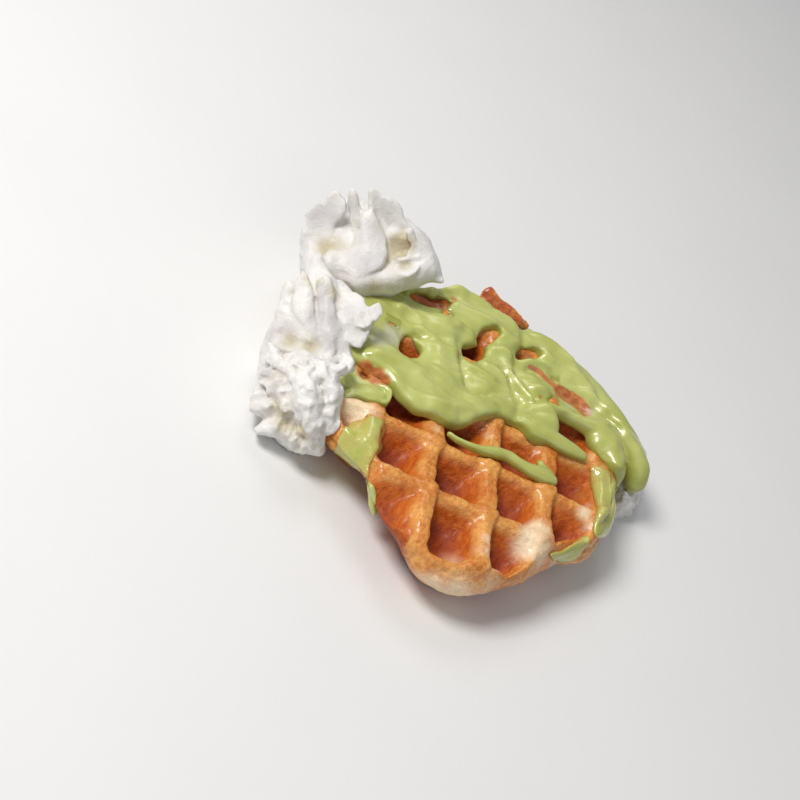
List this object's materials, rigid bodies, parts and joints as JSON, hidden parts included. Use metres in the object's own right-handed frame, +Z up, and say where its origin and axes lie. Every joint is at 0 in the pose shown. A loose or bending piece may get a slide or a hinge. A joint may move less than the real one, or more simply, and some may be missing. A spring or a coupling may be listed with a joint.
{
  "type": "croffle",
  "caption": "Croissant waffle lying flat: a thick oval pressed in a deep square grid, with pistachio sauce poured over its back half and whipped cream piped at one side.",
  "frame": {"origin": "on the underside, at the flat crossing of two ridges of the lower face, where the croffle rests", "axes": "+Z up out of the waffle face, +X along one set of ridges, +Y along the other set, away from the bare front tip"},
  "size_m": [0.1501, 0.1256, 0.048],
  "materials": {
    "baked_crust": "baked laminated dough: orange-brown in the pockets, lighter speckled ridge tops, pale at the rim, a thin caramel shine",
    "pistachio_sauce": "thick glossy yellow-green sauce with sharp highlights",
    "whipped_cream": "soft white whipped cream with fine ragged edges"
  },
  "bodies": {
    "root": {"croffle": "baked_crust", "green_sauce": "pistachio_sauce", "green_sauce_left": "pistachio_sauce", "cream_top": "whipped_cream", "cream_middle": "whipped_cream", "cream_lower": "whipped_cream", "cream_edge": "whipped_cream"}
  },
  "joints": []
}
